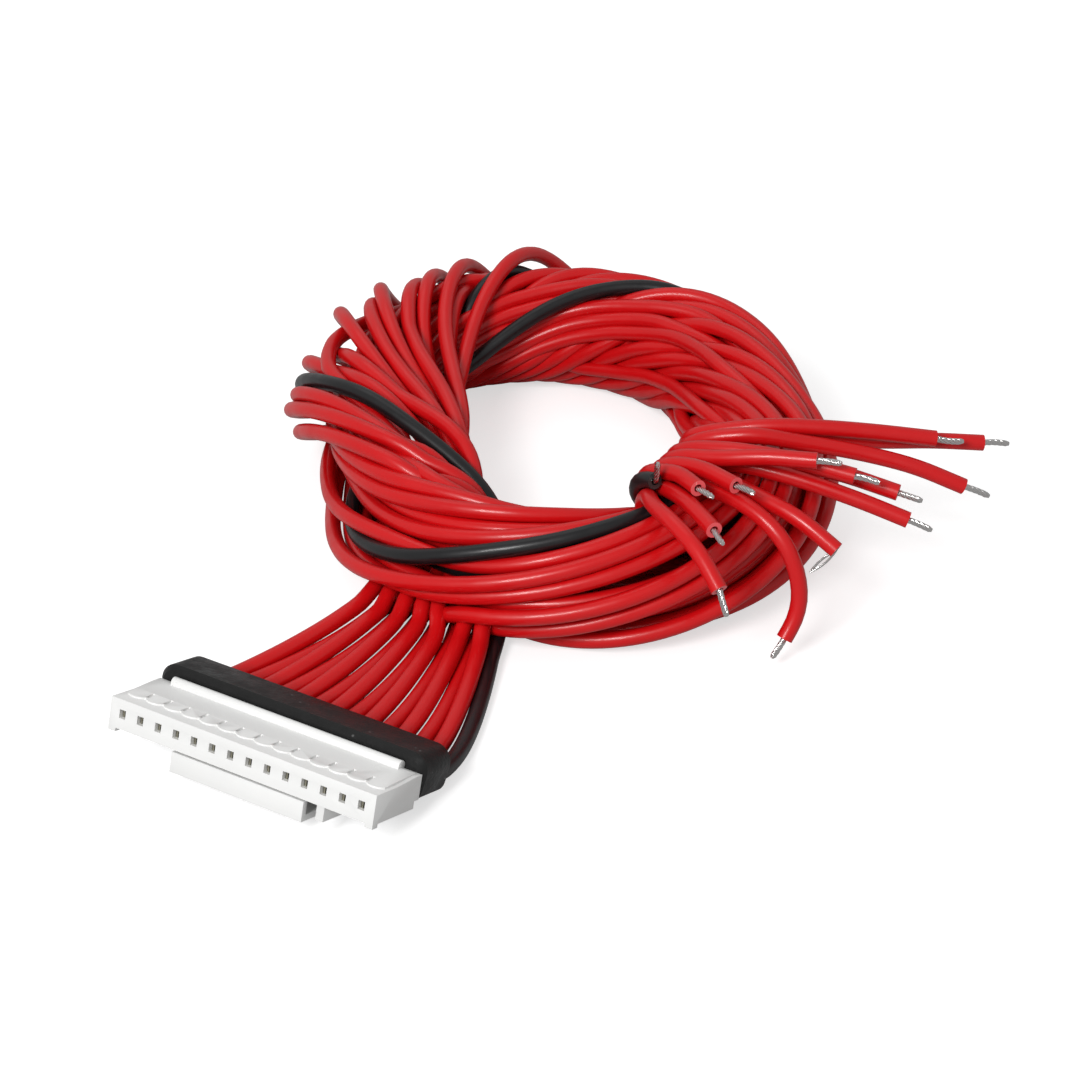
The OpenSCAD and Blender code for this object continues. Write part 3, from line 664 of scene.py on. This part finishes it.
red_vinyl = vinyl("red_vinyl", (0.64, 0.004, 0.006), (0.53, 0.003, 0.005), (0.85, 0.10, 0.11), 0.33)
black_vinyl = vinyl("black_vinyl", (0.009, 0.009, 0.010), (0.006, 0.006, 0.007),
                    (0.03, 0.03, 0.03), 0.36)

for way, run in enumerate(wires, 1):
    name, black = "wire_%02d" % way, way == black_way
    fine_run = limp_run(run, fine_step)
    piece = grown(name, drawn, run_mesh(name, fine_run),
                  {"Thickness": 0.0016, "Sides": 16, "Hole": 0.5, "Hole depth": 0.0004,
                   "Insulation": black_vinyl if black else red_vinyl})
    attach(piece, "root")
    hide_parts("lead_%02d" % way, "tail_%02d" % way, "wire_coil")

# ---- Contacts ----
# Each wire is crimped in a contact stamped from brass strip with a thin coat of
# tin. Two spring leaves stand in its mouth, with a narrow slit between for the pin.
brass, tree, shader = surface("tinned_brass", (0.42, 0.40, 0.32), 0.34, Metallic=0.9)
handled(tree, shader, size=1500.0, low=0.26, high=0.46)
for way in ways:
    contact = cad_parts["contact_%02d" % way]
    contact.data.materials.clear()
    contact.data.materials.append(brass)

leaves, given = shape_tree("spring_leaves", {"Ways": "Int", "Pitch": "Vector",
                                             "First": "Vector", "Lean": "Rotation",
                                             "Brass": "Material"})
row = add(leaves, "GeometryNodeMeshLine",
          {"Count": given["Ways"], "Start Location": given["First"], "Offset": given["Pitch"]})
pair = add(leaves, "GeometryNodeInstanceOnPoints",
           {"Points": row.outputs[0], "Instance": given["Geometry"], "Rotation": given["Lean"]})
close_tree(leaves, pair.outputs[0], given["Brass"])

leaf_width, leaf_slit, leaf_height, leaf_length = 0.19, 0.2, 0.76, 2.2
leaf_lead_in, leaf_depth, first_contact_x = 0.03, 0.5, -13
pair_mesh = bpy.data.meshes.new("leaf_pair")
build = bmesh.new()
for side in (-1, 1):
    block = bmesh.ops.create_cube(build, size=1.0)["verts"]
    for corner in block:
        x, y, z = corner.co
        tip_in = leaf_lead_in * side if y > 0 else 0.0
        corner.co = ((side * (leaf_slit + leaf_width) / 2 + x * leaf_width - tip_in) / 1000,
                     (y + 0.5) * leaf_length / 1000, z * leaf_height / 1000)
build.to_mesh(pair_mesh)
build.free()
piece = grown("contact_leaves", leaves, pair_mesh,
              {"Ways": len(ways), "Pitch": (contact_pitch / 1000, 0.0, 0.0),
               "First": tuple(at_plug(first_contact_x, leaf_depth) / 1000),
               "Lean": (-plug_lean, 0.0, 0.0), "Brass": brass})
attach(piece, "root")

# ---- Housing ----
# The plug's body is injection moulded in one piece from white nylon, with a window
# and a locking tongue for each contact and a latch below. The mould leaves its edges
# slightly soft.
def softened(name, node, radius, steps, angle, merge_angle=0.6):
    """The node's own shape with its edges rounded over, as a plain mesh."""
    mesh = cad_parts[node].data.copy()
    shape = bmesh.new()
    shape.from_mesh(mesh)
    bmesh.ops.remove_doubles(shape, verts=shape.verts, dist=0.000002)
    bmesh.ops.dissolve_limit(shape, angle_limit=math.radians(merge_angle),
                             verts=shape.verts, edges=shape.edges)
    shape.to_mesh(mesh)
    shape.free()
    base = bpy.data.objects.new(name + "_start", mesh)
    scene.collection.objects.link(base)
    rounding = base.modifiers.new("rounding", "BEVEL")
    rounding.width, rounding.segments, rounding.limit_method = radius, steps, "ANGLE"
    rounding.angle_limit, rounding.use_clamp_overlap = math.radians(angle), True
    bpy.context.view_layer.update()
    rounded = base.evaluated_get(bpy.context.evaluated_depsgraph_get())
    done = bpy.data.meshes.new_from_object(rounded)
    base.modifiers.remove(rounding)
    bpy.data.objects.remove(base)
    done.name = name
    piece = bpy.data.objects.new(name, done)
    scene.collection.objects.link(piece)
    done.shade_smooth()
    done.set_sharp_from_angle(angle=math.radians(32))
    return piece


nylon, tree, shader = surface("white_nylon", (0.80, 0.80, 0.79), 0.42, Specular_IOR_Level=0.4)
handled(tree, shader, size=350.0, low=0.36, high=0.5)
grained(tree, shader, size=5000.0, height=0.000006, strength=0.5)
spot = add(tree, "ShaderNodeTexCoord")
cloud = add(tree, "ShaderNodeTexNoise",
            {"Vector": spot.outputs["Object"], "Scale": 180.0, "Detail": 3.0})
tone = between(tree, cloud.outputs[0], (0.77, 0.77, 0.76, 1), (0.82, 0.82, 0.81, 1))
tree.links.new(tone, shader.inputs["Base Color"])

housing = softened("plug_housing", "connector_housing", radius=0.00006, steps=2, angle=40)
housing.data.materials.clear()
housing.data.materials.append(nylon)
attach(housing, "root")
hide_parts("connector_housing")

# ---- Sleeve ----
# Black heat-shrink tube is pulled over the wires' first run and shrunk hard against
# the housing's back. It bulges round the row's two ends and is matt, with dust.
rubber, tree, shader = surface("shrunk_sleeve", (0.007, 0.007, 0.007), 0.45,
                               Specular_IOR_Level=0.32)
handled(tree, shader, size=500.0, low=0.30, high=0.52)
grained(tree, shader, size=2600.0, height=0.00005, strength=0.8)
spot = add(tree, "ShaderNodeTexCoord")
dust = add(tree, "ShaderNodeTexVoronoi", {"Vector": spot.outputs["Object"], "Scale": 700.0})
speck = spread(tree, dust.outputs["Distance"], 0.05, 0.11, 1.0, 0.0)
tone = between(tree, speck, (0.007, 0.007, 0.007, 1), (0.09, 0.09, 0.09, 1))
tree.links.new(tone, shader.inputs["Base Color"])

sleeve = softened("wire_sleeve", "shrink_sleeve", radius=0.00028, steps=4, angle=24,
                  merge_angle=0.3)
sleeve.data.materials.clear()
sleeve.data.materials.append(rubber)
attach(sleeve, "root")
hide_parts("shrink_sleeve")

# ---- Table and light ----
# A plain white table stays white to the eye and keeps a faint shadow. A broad soft
# lamp shines from the front, and a weak one from high up behind on the left.
def in_view(tree, lighting, seen, end):
    """One look for light that bounces, another for what the eye sees straight on."""
    path = add(tree, "ShaderNodeLightPath")
    either = add(tree, "ShaderNodeMixShader", {0: path.outputs["Is Camera Ray"],
                                               1: lighting.outputs[0], 2: seen.outputs[0]})
    tree.links.new(either.outputs[0], tree.nodes[end].inputs["Surface"])


bpy.ops.mesh.primitive_plane_add(size=6)
table = bpy.context.object
table.name = "table"
material, tree, shader = surface("white_table", (0.5, 0.5, 0.5), 0.9, Specular_IOR_Level=0.0)
seen = tree.nodes.new("ShaderNodeBsdfPrincipled")
seen.inputs["Base Color"].default_value = (0.62, 0.62, 0.62, 1)
seen.inputs["Roughness"].default_value = 0.9
seen.inputs["Specular IOR Level"].default_value = 0.0
seen.inputs["Emission Color"].default_value = (1, 1, 1, 1)
seen.inputs["Emission Strength"].default_value = 0.62
in_view(tree, shader, seen, "Material Output")
table.data.materials.append(material)

sky = bpy.data.worlds.new("sky")
scene.world = sky
sky.use_nodes = True
tree = sky.node_tree
glow = tree.nodes["Background"]
glow.inputs[0].default_value, glow.inputs[1].default_value = (1, 1, 1, 1), 0.45
behind = tree.nodes.new("ShaderNodeBackground")
behind.inputs[0].default_value, behind.inputs[1].default_value = (1, 1, 1, 1), 1.0
in_view(tree, glow, behind, "World Output")


def soft_lamp(name, place, size, power):
    """A square lamp that looks at the harness's middle."""
    lamp = bpy.data.lights.new(name, "AREA")
    lamp.size, lamp.energy = size, power
    holder = bpy.data.objects.new(name, lamp)
    scene.collection.objects.link(holder)
    holder.location = place
    holder.rotation_mode = "QUATERNION"
    towards = Vector((0, 0.04, 0)) - Vector(place)
    holder.rotation_quaternion = towards.to_track_quat("-Z", "Y")


soft_lamp("key_lamp", (0.05, -0.5, 0.42), size=0.22, power=3.3)
soft_lamp("top_lamp", (-0.3, 0.2, 0.6), size=0.4, power=0.3)
scene.view_settings.view_transform = "Standard"
